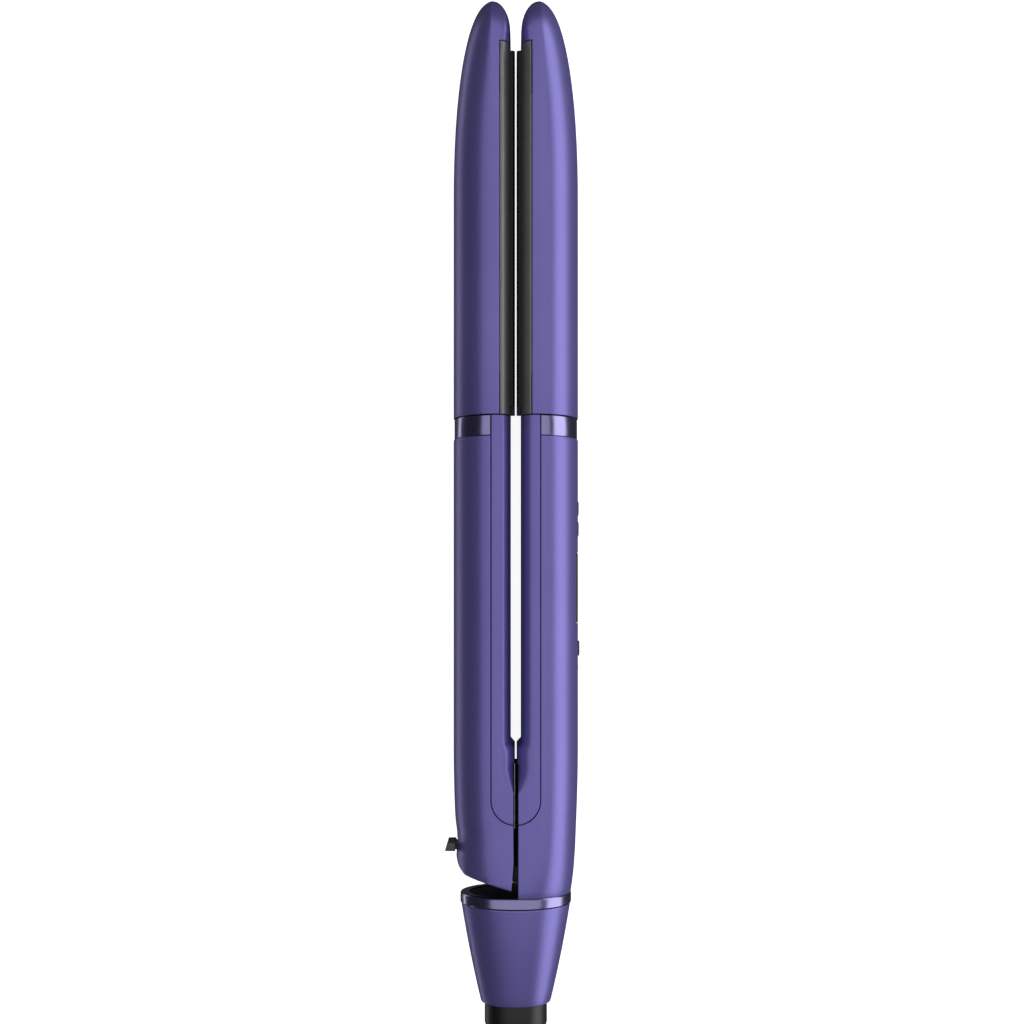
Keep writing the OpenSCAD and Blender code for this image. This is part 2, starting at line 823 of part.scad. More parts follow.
plug_pins();
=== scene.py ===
import bpy
from math import pi, sin, cos, sqrt, radians, atan2, hypot
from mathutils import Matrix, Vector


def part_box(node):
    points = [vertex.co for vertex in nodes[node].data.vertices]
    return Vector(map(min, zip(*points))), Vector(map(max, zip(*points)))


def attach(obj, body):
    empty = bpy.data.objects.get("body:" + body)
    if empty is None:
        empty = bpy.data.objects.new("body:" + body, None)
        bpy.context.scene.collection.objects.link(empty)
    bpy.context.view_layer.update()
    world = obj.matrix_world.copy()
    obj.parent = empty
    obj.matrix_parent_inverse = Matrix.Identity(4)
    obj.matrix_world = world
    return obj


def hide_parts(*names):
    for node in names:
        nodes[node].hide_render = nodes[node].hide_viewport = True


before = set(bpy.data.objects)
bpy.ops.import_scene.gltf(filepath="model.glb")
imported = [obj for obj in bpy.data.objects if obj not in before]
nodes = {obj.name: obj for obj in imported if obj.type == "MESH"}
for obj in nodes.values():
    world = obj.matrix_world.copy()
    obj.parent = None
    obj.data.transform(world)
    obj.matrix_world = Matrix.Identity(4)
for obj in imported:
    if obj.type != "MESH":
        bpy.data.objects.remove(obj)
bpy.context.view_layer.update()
mm = 0.001


def mmBox(node):  # lowest and highest corners of a node, in millimetres
    low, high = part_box(node)
    return [c / mm for c in low], [c / mm for c in high]


# main stations of the iron, all in millimetres
headLow, headHigh = mmBox("fixed_head_shell")
handleLow = mmBox("fixed_handle_shell")[0]
bandBoxLow, bandBoxHigh = mmBox("fixed_band")
collarLow, collarHigh = mmBox("collar_ring")
reliefLow, reliefHigh = mmBox("strain_relief")
tipY = headHigh[1]
reach = headHigh[0]
halfDepth = (headHigh[2] - headLow[2]) / 2
midZ = (headHigh[2] + headLow[2]) / 2
bandTop, bandLow = bandBoxHigh[1], bandBoxLow[1]
carrierTop = mmBox("fixed_plate_carrier")[1][1]
seamX = bandBoxLow[0]
arcCentreY = mmBox("fixed_inner_cover")[0][1] + seamX
print("frame loaded, iron runs from", round(collarLow[1], 1), "to", round(tipY, 1), "mm")

# camera, straight above the iron and shifted to its upper part
camera = {"place": (0.0, -0.02665, 0.5301), "lens": 63.3, "shift": (-0.0037, 0.083)}
bpy.ops.object.camera_add(location=camera["place"], rotation=(0, 0, 0))
cam = bpy.context.object
cam.data.lens = camera["lens"]
cam.data.sensor_width = 36
cam.data.shift_x, cam.data.shift_y = camera["shift"]
cam.data.clip_start = 0.01
bpy.context.scene.camera = cam
bpy.context.scene.view_settings.view_transform = "Standard"
print("camera made")


def clearSelection():
    if bpy.context.object and bpy.context.object.mode != "OBJECT":
        bpy.ops.object.mode_set(mode="OBJECT")
    bpy.ops.object.select_all(action="DESELECT")


def pick(piece):  # makes one object the only one selected
    clearSelection()
    piece.select_set(True)
    bpy.context.view_layer.objects.active = piece
    return piece


def applyPlace(piece):
    pick(piece)
    bpy.ops.object.transform_apply(location=True, rotation=True, scale=True)
    return piece


def addBlock(name, low, high):  # box between two corners in millimetres
    clearSelection()
    middle = [(a + b) / 2 * mm for a, b in zip(low, high)]
    bpy.ops.mesh.primitive_cube_add(size=1, location=middle)
    piece = bpy.context.object
    piece.name = name
    piece.scale = [(b - a) * mm for a, b in zip(low, high)]
    return applyPlace(piece)


def addRod(name, start, length, radius, axis="X", sides=48):
    clearSelection()
    turn = {"X": (0, pi / 2, 0), "Y": (-pi / 2, 0, 0), "Z": (0, 0, 0)}[axis]
    step = {"X": (1, 0, 0), "Y": (0, 1, 0), "Z": (0, 0, 1)}[axis]
    middle = [(s + d * length / 2) * mm for s, d in zip(start, step)]
    bpy.ops.mesh.primitive_cylinder_add(vertices=sides, radius=radius * mm, depth=length * mm,
                                        location=middle, rotation=turn)
    piece = bpy.context.object
    piece.name = name
    return applyPlace(piece)


def deselectMesh(piece):
    pick(piece)
    for part in (piece.data.polygons, piece.data.edges, piece.data.vertices):
        for element in part:
            element.select = False


def editBy(kind):
    bpy.ops.object.mode_set(mode="EDIT")
    bpy.ops.mesh.select_mode(type=kind)


def selectFaces(piece, wanted):  # edit mode, with the faces that pass the test selected
    deselectMesh(piece)
    for face in piece.data.polygons:
        face.select = bool(wanted(face.center / mm, face.normal))
    editBy("FACE")


def selectVerts(piece, wanted):
    deselectMesh(piece)
    for vert in piece.data.vertices:
        vert.select = bool(wanted(vert.co / mm))
    editBy("VERT")


def selectEdges(piece, wanted):
    deselectMesh(piece)
    verts = piece.data.vertices
    for edge in piece.data.edges:
        a, b = verts[edge.vertices[0]].co / mm, verts[edge.vertices[1]].co / mm
        edge.select = bool(wanted(a, b))
    editBy("EDGE")


def tidyNormals(piece):
    pick(piece)
    bpy.ops.object.mode_set(mode="EDIT")
    bpy.ops.mesh.select_all(action="SELECT")
    bpy.ops.mesh.remove_doubles(threshold=0.000002)
    bpy.ops.mesh.normals_make_consistent(inside=False)
    bpy.ops.object.mode_set(mode="OBJECT")


def wrapGrid(name, rings):  # a grid laid round the cross-sections and closed at both ends
    clearSelection()
    across, along = len(rings[0]), len(rings)
    bpy.ops.mesh.primitive_grid_add(x_subdivisions=across, y_subdivisions=along - 1, size=0.01)
    piece = bpy.context.object
    piece.name = name
    points = []
    for ring in rings:
        for p in ring + ring[:1]:
            points += [c * mm for c in p]
    piece.location = (0, 0, 0)
    piece.data.vertices.foreach_set("co", points)
    piece.data.update()
    bpy.ops.object.mode_set(mode="EDIT")
    bpy.ops.mesh.select_all(action="SELECT")
    bpy.ops.mesh.remove_doubles(threshold=0.000002)
    bpy.ops.mesh.select_all(action="SELECT")
    bpy.ops.mesh.fill_holes(sides=0)
    bpy.ops.mesh.select_all(action="SELECT")
    bpy.ops.mesh.normals_make_consistent(inside=False)
    bpy.ops.object.mode_set(mode="OBJECT")
    return piece


def copyOf(piece, name):
    pick(piece)
    bpy.ops.object.duplicate()
    twin = bpy.context.object
    twin.name = name
    return twin


def cut(piece, cutter, how="DIFFERENCE"):  # the cutter is used up
    pick(piece)
    bpy.ops.object.modifier_add(type="BOOLEAN")
    step = piece.modifiers[-1]
    step.operation = how
    step.solver = "EXACT"
    step.object = cutter
    bpy.ops.object.modifier_apply(modifier=step.name)
    bpy.data.objects.remove(cutter)
    return piece


def easeEdges(piece, width, angle=40, segments=2):
    pick(piece)
    bpy.ops.object.modifier_add(type="BEVEL")
    step = piece.modifiers[-1]
    step.width = width * mm
    step.segments = segments
    step.limit_method = "ANGLE"
    step.angle_limit = radians(angle)
    step.use_clamp_overlap = False
    step.harden_normals = False
    bpy.ops.object.modifier_apply(modifier=step.name)


def smooth(piece, angle=30):
    pick(piece)
    bpy.ops.object.shade_smooth_by_angle(angle=radians(angle))


def turnedPiece(name, profile, sides=96, closed=False):  # rings extruded along the long axis
    clearSelection()
    radius, y = profile[0]
    bpy.ops.mesh.primitive_circle_add(vertices=sides, radius=radius * mm, location=(0, y * mm, midZ * mm),
                                      rotation=(pi / 2, 0, 0))
    piece = bpy.context.object
    piece.name = name
    applyPlace(piece)
    bpy.ops.object.mode_set(mode="EDIT")
    bpy.ops.mesh.select_mode(type="VERT")
    bpy.ops.mesh.select_all(action="SELECT")
    if not closed:
        bpy.ops.mesh.edge_face_add()
    for nextRadius, nextY in profile[1:]:
        bpy.ops.mesh.extrude_region_move(TRANSFORM_OT_translate={"value": (0, (nextY - y) * mm, 0)})
        k = nextRadius / radius
        bpy.ops.transform.resize(value=(k, 1, k), center_override=(0, nextY * mm, midZ * mm))
        radius, y = nextRadius, nextY
    bpy.ops.object.mode_set(mode="OBJECT")
    tidyNormals(piece)
    return piece


def linear(hexColour):  # sRGB hex to linear
    values = [int(hexColour[i:i + 2], 16) / 255 for i in (1, 3, 5)]
    return [v / 12.92 if v <= 0.04045 else ((v + 0.055) / 1.055) ** 2.4 for v in values] + [1]


def addNode(tree, kind, settings=None, links=None):
    node = tree.nodes.new(kind)
    for key, value in (settings or {}).items():
        if isinstance(key, int) or key in node.inputs:
            node.inputs[key].default_value = value
        else:
            setattr(node, key, value)
    for key, source in (links or {}).items():
        tree.links.new(source, node.inputs[key])
    return node


def startMaterial(name):
    material = bpy.data.materials.new(name)
    material.use_nodes = True
    tree = material.node_tree
    tree.nodes.clear()
    shader = addNode(tree, "ShaderNodeBsdfPrincipled")
    addNode(tree, "ShaderNodeOutputMaterial", links={"Surface": shader.outputs[0]})
    place = addNode(tree, "ShaderNodeTexCoord").outputs["Object"]
    return material, tree, shader, place


def mixTint(tree, colour, colour2, share):
    settings = {"data_type": "RGBA", 6: linear(colour), 7: linear(colour2)}
    return addNode(tree, "ShaderNodeMix", settings, {0: share})


def layFinish(tree, shader, finish, tintBy, lay, depthMm):  # the pattern drives tint, roughness and bump
    tint = mixTint(tree, finish["colour"], finish["colour2"], tintBy)
    low, high = finish["rough"]
    rough = addNode(tree, "ShaderNodeMapRange", {"To Min": low, "To Max": high}, {"Value": lay})
    relief = {"Strength": finish["bump"], "Distance": depthMm * mm}
    bump = addNode(tree, "ShaderNodeBump", relief, {"Height": lay})
    tree.links.new(tint.outputs[2], shader.inputs["Base Color"])
    tree.links.new(rough.outputs[0], shader.inputs["Roughness"])
    tree.links.new(bump.outputs[0], shader.inputs["Normal"])
    for key, value in finish["shader"].items():
        shader.inputs[key].default_value = value


def speckled(name, finish):  # moulded, coated or sintered surface with a fine even grain
    material, tree, shader, place = startMaterial(name)
    grainLook = {"Scale": 1000 / finish["grainMm"], "Detail": 3.0, "Roughness": 0.6}
    grain = addNode(tree, "ShaderNodeTexNoise", grainLook, {"Vector": place})
    cloudLook = {"Scale": 1000 / finish["cloudMm"], "Detail": 2.0}
    cloud = addNode(tree, "ShaderNodeTexNoise", cloudLook, {"Vector": place})
    layFinish(tree, shader, finish, cloud.outputs[0], grain.outputs[0], finish["depthMm"])
    return material


def drawn(name, finish):  # metal with fine lines that run one way
    material, tree, shader, place = startMaterial(name)
    stretch = addNode(tree, "ShaderNodeMapping", {"Scale": finish["stretch"]}, {"Vector": place})
    lineLook = {"Scale": 1000 / finish["lineMm"], "Detail": 4.0, "Roughness": 0.7}
    lines = addNode(tree, "ShaderNodeTexNoise", lineLook, {"Vector": stretch.outputs[0]})
    layFinish(tree, shader, finish, lines.outputs[0], lines.outputs[0], 0.02)
    return material


# satin soft-feel lacquer over ABS: purple with a fine pearl, broad highlights
satinPurple = speckled("satinPurpleLacquer", {
    "colour": "#6F68AE", "colour2": "#7871B8", "grainMm": 0.35, "cloudMm": 30, "rough": (0.33, 0.4),
    "bump": 0.06, "depthMm": 0.02, "shader": {"Metallic": 0.55, "Specular IOR Level": 0.4}})
# vacuum metallised ABS with a purple clear coat: mirror-like, the grain is only a faint orange peel
metallisedPurple = speckled("metallisedPurple", {
    "colour": "#847FAC", "colour2": "#8B86B2", "grainMm": 2.5, "cloudMm": 20, "rough": (0.2, 0.26),
    "bump": 0.02, "depthMm": 0.02, "shader": {"Metallic": 1.0, "Coat Weight": 0.3, "Coat Roughness": 0.05}})
# glass-filled nylon sprayed graphite grey: satin, with fine metal flakes
carrierNylon = speckled("graphiteNylon", {
    "colour": "#777777", "colour2": "#818182", "grainMm": 0.3, "cloudMm": 6, "rough": (0.33, 0.42),
    "bump": 0.08, "depthMm": 0.02, "shader": {"Metallic": 0.6, "Specular IOR Level": 0.4}})
# ceramic coating baked on aluminium: near black, silky, faint pits
plateCeramic = speckled("ceramicCoatedAluminium", {
    "colour": "#040404", "colour2": "#080808", "grainMm": 0.25, "cloudMm": 8, "rough": (0.22, 0.32),
    "bump": 0.05, "depthMm": 0.01, "shader": {"Specular IOR Level": 0.2}})
smokedLens = speckled("smokedPolycarbonate", {
    "colour": "#0B0B10", "colour2": "#0F0F15", "grainMm": 3, "cloudMm": 10, "rough": (0.05, 0.09),
    "bump": 0.01, "depthMm": 0.01, "shader": {"Specular IOR Level": 0.55, "Coat Weight": 0.5}})
buttonAbs = speckled("graphiteAbs", {
    "colour": "#35353A", "colour2": "#3D3D43", "grainMm": 0.3, "cloudMm": 4, "rough": (0.4, 0.52),
    "bump": 0.1, "depthMm": 0.02, "shader": {"Specular IOR Level": 0.5}})
leverAcetal = speckled("blackAcetal", {
    "colour": "#434344", "colour2": "#4B4B4D", "grainMm": 0.3, "cloudMm": 3, "rough": (0.42, 0.55),
    "bump": 0.12, "depthMm": 0.02, "shader": {"Specular IOR Level": 0.5}})
blackThermoset = speckled("blackThermoset", {
    "colour": "#101012", "colour2": "#18181A", "grainMm": 0.35, "cloudMm": 5, "rough": (0.5, 0.65),
    "bump": 0.12, "depthMm": 0.02, "shader": {"Specular IOR Level": 0.4}})
naturalNylon = speckled("naturalNylon", {
    "colour": "#DEDCD2", "colour2": "#E8E6DE", "grainMm": 0.5, "cloudMm": 6, "rough": (0.35, 0.45),
    "bump": 0.06, "depthMm": 0.02, "shader": {"Subsurface Weight": 0.1, "Subsurface Scale": 0.001}})
# near-black seal strip: partly its own black, partly painted shade standing in for the dark slit between the
# handles
sealBlackAndSlitShade = speckled("sealRubberAndSlitShade", {
    "colour": "#040404", "colour2": "#070707", "grainMm": 0.4, "cloudMm": 5, "rough": (0.8, 0.95),
    "bump": 0.2, "depthMm": 0.05, "shader": {"Specular IOR Level": 0.1}})
# plasticised PVC, moulded on a fine spark-eroded tool: soft sheen, deep black
softPvc = speckled("softBlackPvc", {
    "colour": "#0C0C0D", "colour2": "#131314", "grainMm": 0.4, "cloudMm": 8, "rough": (0.36, 0.46),
    "bump": 0.1, "depthMm": 0.02, "shader": {"Specular IOR Level": 0.5}})
siliconeWire = speckled("redSilicone", {
    "colour": "#A92E26", "colour2": "#B8382F", "grainMm": 0.4, "cloudMm": 9, "rough": (0.5, 0.6),
    "bump": 0.05, "depthMm": 0.02, "shader": {"Specular IOR Level": 0.4}})
pvcWire = speckled("bluePvc", {
    "colour": "#30508F", "colour2": "#385B9E", "grainMm": 0.4, "cloudMm": 9, "rough": (0.35, 0.45),
    "bump": 0.05, "depthMm": 0.02, "shader": {"Specular IOR Level": 0.5}})
solderMask = speckled("greenSolderMask", {
    "colour": "#14532F", "colour2": "#1E6B40", "grainMm": 0.5, "cloudMm": 2.2, "rough": (0.25, 0.4),
    "bump": 0.15, "depthMm": 0.03, "shader": {"Specular IOR Level": 0.5, "Coat Weight": 0.3}})
polyimideWrap = speckled("polyimideWrap", {
    "colour": "#B98A3C", "colour2": "#C79A4C", "grainMm": 1.2, "cloudMm": 5, "rough": (0.2, 0.35),
    "bump": 0.15, "depthMm": 0.05, "shader": {"Coat Weight": 0.3}})
glassBead = speckled("dippedGlassBead", {
    "colour": "#9A3E18", "colour2": "#B04B1F", "grainMm": 0.8, "cloudMm": 1, "rough": (0.08, 0.14),
    "bump": 0.03, "depthMm": 0.02, "shader": {"Specular IOR Level": 0.6}})
crystalGlass = speckled("liquidCrystalGlass", {
    "colour": "#7F938A", "colour2": "#889C92", "grainMm": 2, "cloudMm": 6, "rough": (0.06, 0.1),
    "bump": 0.01, "depthMm": 0.01, "shader": {"Specular IOR Level": 0.6}})
lightGuide = speckled("frostedLightGuide", {
    "colour": "#C9D2E6", "colour2": "#D6DEEE", "grainMm": 0.3, "cloudMm": 2, "rough": (0.3, 0.4),
    "bump": 0.05, "depthMm": 0.01, "shader": {"Subsurface Weight": 0.2, "Subsurface Scale": 0.001}})
rolledSteel = drawn("rolledSteel", {
    "colour": "#A9ACB0", "colour2": "#C3C5C8", "lineMm": 0.2, "stretch": (1, 0.04, 1), "rough": (0.22, 0.36),
    "bump": 0.12, "shader": {"Metallic": 1.0}})
zincSteel = drawn("zincPlatedSteel", {
    "colour": "#9FA3A6", "colour2": "#B9BBBA", "lineMm": 0.3, "stretch": (0.2, 1, 1), "rough": (0.25, 0.4),
    "bump": 0.1, "shader": {"Metallic": 1.0}})
blackOxide = drawn("blackOxideSteel", {
    "colour": "#1C1C1E", "colour2": "#28282B", "lineMm": 0.2, "stretch": (1, 1, 0.1), "rough": (0.4, 0.55),
    "bump": 0.1, "shader": {"Metallic": 0.8}})
turnedBrass = drawn("turnedBrass", {
    "colour": "#BE9440", "colour2": "#CBA354", "lineMm": 0.15, "stretch": (0.05, 1, 0.05), "rough": (0.2, 0.32),
    "bump": 0.1, "shader": {"Metallic": 1.0}})
nickelPlate = drawn("nickelPlatedBrass", {
    "colour": "#BDB9AE", "colour2": "#CBC8BE", "lineMm": 0.25, "stretch": (1, 0.05, 1), "rough": (0.14, 0.24),
    "bump": 0.05, "shader": {"Metallic": 1.0}})


def dress(piece, material):
    piece.data.materials.clear()
    piece.data.materials.append(material)


def finishPiece(piece, material, slot, body, *replaced):
    dress(piece, material)
    if replaced:
        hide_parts(*replaced)
    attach(piece, body)


print("materials made")

# mains cord, all in millimetres; the lift parts the runs that cross the waist
cord = {"diameter": 6.0, "length": 1800.0, "foldRadius": 18.6, "waist": 6.0, "lift": 1.0}
leadRoute = [  # free run from the strain relief down to the surface
    (0, -184.1, 17.1), (0, -190, 17.1), (0.4, -197, 16.9), (1.4, -204, 15.9), (3, -211, 14.1),
    (5.2, -218, 11.8), (7.8, -225, 9.4), (10.4, -232, 7.2), (12.8, -239, 5.3), (14.8, -246, 4),
    (16.3, -253, 3.3), (17.3, -260, 3.05), (17.7, -264, 3)]
foldTop, foldLow = -272.0, -392.0
plugRear = mmBox("plug_body")[0][1]
plugZ = (mmBox("plug_body")[0][2] + mmBox("plug_body")[1][2]) / 2


def hankRoute(radius):
    route = list(leadRoute)
    runs = foldTop - foldLow
    for turn in range(5):
        r = radius + (0.5, -0.4, 0.3, -0.5, 0.2)[turn]  # no two turns are wound alike
        nextR = radius + (-0.4, 0.3, -0.5, 0.2, 0.2)[turn]
        waist = cord["waist"] + (0, -0.5, 0.2, -0.3, 0)[turn]
        level = 3 + 6 * turn
        for i in range(14):
            s = i / 14
            x = waist + (r - waist) * cos(pi * s) ** 2
            route.append((x, foldTop - runs * s, level + cord["lift"] * sin(pi * s) ** 2))
        if turn == 4:
            break
        for i in range(9):
            a = -pi * i / 9
            route.append((r * cos(a), foldLow + r * sin(a), level))
        for i in range(14):
            s = i / 14
            x = waist + (r - waist) * cos(pi * s) ** 2
            route.append((-x, foldLow + runs * s, level + cord["lift"] * sin(pi * s) ** 2))
        for i in range(9):
            a = pi - pi * i / 9
            rr = r + (nextR - r) * i / 9
            rise = (1 - cos(pi * i / 9)) / 2
            route.append((rr * cos(a), foldTop + rr * sin(a), level + 6 * rise))
    # the last fold turns past the end and climbs to the plug
    past = radians(27)
    tail = [(r * cos(-a), foldLow + r * sin(-a)) for a in [(pi + past) * i / 12 for i in range(13)]]
    x, y = tail[-1]
    straightEnd = (-2.83, plugRear - 11.8)
    for i in (1, 2, 3):
        tail.append((x + (straightEnd[0] - x) * i / 3, y + (straightEnd[1] - y) * i / 3))
    for i in (1, 2, 3):
        a = past * (1 - i / 3)
        tail.append((-26 * (1 - cos(a)), plugRear - 26 * sin(a)))
    tail += [(0, plugRear + 3)]
    walked, total = [0], 0
    for a, b in zip(tail, tail[1:]):
        total += hypot(b[0] - a[0], b[1] - a[1])
        walked.append(total)
    for (x, y), w in zip(tail, walked):
        share = min(1, max(0, (w - 12) / (total - 20)))
        route.append((x, y, 27 + (plugZ - 27) * (1 - cos(pi * share)) / 2))
    return route


def lengthOf(route):
    return sum(sqrt(sum((q - p) ** 2 for p, q in zip(a, b))) for a, b in zip(route, route[1:]))


radius = cord["foldRadius"]
for attempt in range(6):  # the fold radius is eased until the cord has its real length
    radius += (cord["length"] - 2 - lengthOf(hankRoute(radius))) / (8 * pi + 12)
route = hankRoute(radius)
print("cord route", round(lengthOf(route)), "mm, fold radius", round(radius, 2))

clearSelection()
bpy.ops.curve.primitive_nurbs_path_add(location=(0, 0, 0))
cordPiece = bpy.context.object
cordPiece.name = "mainsCord"
line = cordPiece.data
line.splines.clear()
spline = line.splines.new("BEZIER")
spline.bezier_points.add(len(route) - 1)
for point, place in zip(spline.bezier_points, route):
    point.co = [c * mm for c in place]
    point.handle_left_type = point.handle_right_type = "AUTO"
line.dimensions = "3D"
line.bevel_depth = cord["diameter"] / 2 * mm
line.bevel_resolution = 5
line.resolution_u = 4
line.use_fill_caps = True
print("cord made")

# strap round the waist of the hank, a woven hook-and-loop tape
strap = {"thick": 0.85, "round": 3.0, "threadMm": 0.9}
tieLow, tieHigh = mmBox("cord_tie")


def roundedLoop(name, inset):  # block with its four long edges rounded
    loop = addBlock(name, [tieLow[0] + 0.2 + inset, tieLow[1] + 0.4 - inset, 0.05 + inset],
                    [tieHigh[0] - 0.2 - inset, tieHigh[1] - 0.4 + inset, tieHigh[2] - 0.1 - inset])
    selectEdges(loop, lambda a, b: abs(a.y - b.y) > 5)
    bpy.ops.mesh.bevel(offset=(strap["round"] - inset) * mm, segments=6)
    bpy.ops.object.mode_set(mode="OBJECT")
    return loop


tie = roundedLoop("cordTie", 0)
cut(tie, roundedLoop("tieInside", strap["thick"]))
easeEdges(tie, 0.2)
# the free end of the tape laps over the top
tongue = addBlock("tieTongue", [-5.5, tieLow[1] + 0.7, tieHigh[2] - 0.16],
                  [7.5, tieHigh[1] - 0.7, tieHigh[2] - 0.02])
pick(tongue)
tie.select_set(True)
bpy.context.view_layer.objects.active = tie
bpy.ops.object.join()
smooth(tie)

# nylon tape: a tight cross weave with a dull sheen
tieTape, tree, shader, place = startMaterial("wovenTape")
threads = {"wave_type": "BANDS", "Scale": 1000 / strap["threadMm"] / 20, "Distortion": 0.6}
weft = addNode(tree, "ShaderNodeTexWave", {**threads, "bands_direction": "Y"}, {"Vector": place})
warp = addNode(tree, "ShaderNodeTexWave", {**threads, "bands_direction": "DIAGONAL"}, {"Vector": place})
crossing = {0: weft.outputs["Fac"], 1: warp.outputs["Fac"]}
weave = addNode(tree, "ShaderNodeMath", {"operation": "MULTIPLY"}, crossing)
tint = mixTint(tree, "#19191B", "#2F2F33", weave.outputs[0])
bump = addNode(tree, "ShaderNodeBump", {"Strength": 0.6, "Distance": 0.2 * mm}, {"Height": weave.outputs[0]})
tree.links.new(tint.outputs[2], shader.inputs["Base Color"])
tree.links.new(bump.outputs[0], shader.inputs["Normal"])
shader.inputs["Roughness"].default_value = 0.8
shader.inputs["Sheen Weight"].default_value = 0.3
finishPiece(tie, tieTape, "tie_fabric", "root", "cord_tie")
print("cord tie made")

# moulded two-pin plug, waisted for the fingers
# widths are pairs: how far along the body, and how wide as a share of its full width
plug = {"round": 3.2, "neck": 8, "neckWide": 0.36, "neckHigh": 0.94, "widths": ((0.42, 0.93), (0.72, 1.0)),
        "ribs": 6, "ribPitch": 2.4, "ribRadius": 0.75}
plugLow, plugHigh = mmBox("plug_body")
neckEnd = plugLow[1] + plug["neck"]
plugPiece = addBlock("plugBody", [plugLow[0], neckEnd, plugLow[2]], [plugHigh[0], plugHigh[1], plugHigh[2]])
selectFaces(plugPiece, lambda c, n: n.y < -0.9)
bpy.ops.transform.resize(value=(plug["neckWide"], 1, plug["neckHigh"]),
                         center_override=(0, neckEnd * mm, plugZ * mm))
wasShare, wasWide = 0, plug["neckWide"]
for share, wide in plug["widths"]:
    y = neckEnd + (plugHigh[1] - neckEnd) * share
    bpy.ops.mesh.select_all(action="SELECT")
    bpy.ops.mesh.bisect(plane_co=(0, y * mm, 0), plane_no=(0, 1, 0))
    taper = wasWide + (1 - wasWide) * (share - wasShare) / (1 - wasShare)  # width here before it is changed
    bpy.ops.transform.resize(value=(wide / taper, 1, 1), center_override=(0, y * mm, plugZ * mm))
    wasShare, wasWide = share, wide
bpy.ops.object.mode_set(mode="OBJECT")
easeEdges(plugPiece, plug["round"], angle=50, segments=6)
neckSteps = ((3.9, 0), (4.2, 0.4), (4.6, 4), (5.4, 9))  # radius, and distance from the cord's end of the plug
neck = turnedPiece("plugNeck", [(r, plugLow[1] + d) for r, d in neckSteps], sides=48)
pick(neck)
bpy.ops.transform.translate(value=(0, 0, (plugZ - midZ) * mm))
applyPlace(neck)
cut(plugPiece, neck, "UNION")
for side in (-1, 1):  # two rows of grip ribs pressed into the flanks
    for i in range(plug["ribs"]):
        y = plugHigh[1] - 8 - plug["ribPitch"] * i
        start = (side * (plugHigh[0] + 0.25), y, plugZ - 4)
        cut(plugPiece, addRod("gripRib", start, 8, plug["ribRadius"], axis="Z", sides=16))
smooth(plugPiece)
finishPiece(plugPiece, softPvc, "soft_black_pvc", "root", "plug_body")
dress(nodes["plug_pins"], nickelPlate)
print("plug made")

# extruded PVC jacket: smooth, with faint waviness
cordPvc, tree, shader, place = startMaterial("extrudedPvc")
wavy = addNode(tree, "ShaderNodeTexNoise", {"Scale": 320.0, "Detail": 3.0}, {"Vector": place})
rough = addNode(tree, "ShaderNodeMapRange", {"To Min": 0.3, "To Max": 0.44}, {"Value": wavy.outputs[0]})
tint = mixTint(tree, "#0E0E0F", "#171718", wavy.outputs[0])
bump = addNode(tree, "ShaderNodeBump", {"Strength": 0.08, "Distance": 0.05 * mm}, {"Height": wavy.outputs[0]})
tree.links.new(tint.outputs[2], shader.inputs["Base Color"])
tree.links.new(rough.outputs[0], shader.inputs["Roughness"])
tree.links.new(bump.outputs[0], shader.inputs["Normal"])
finishPiece(cordPiece, cordPvc, "cord_pvc", "root", "cord_lead", "cord_hank")

# both arms; s is always the distance from the tip
arm = {"apexX": 6.9, "crownX": 5.4, "innerX": handleLow[0] + 0.7, "filletX": 3.6, "filletZ": 6.2,
       "creaseFade": 42.0, "creasePower": 1.15, "creaseShow": 34.0, "crest": 13.0, "noseLength": 11.0,
       "ogiveLength": 56.0, "wall": 1.8}


def bulge(s, span, power):
    return (1 - (1 - min(1.0, max(0.0, s / span))) ** power) ** (1 / power)


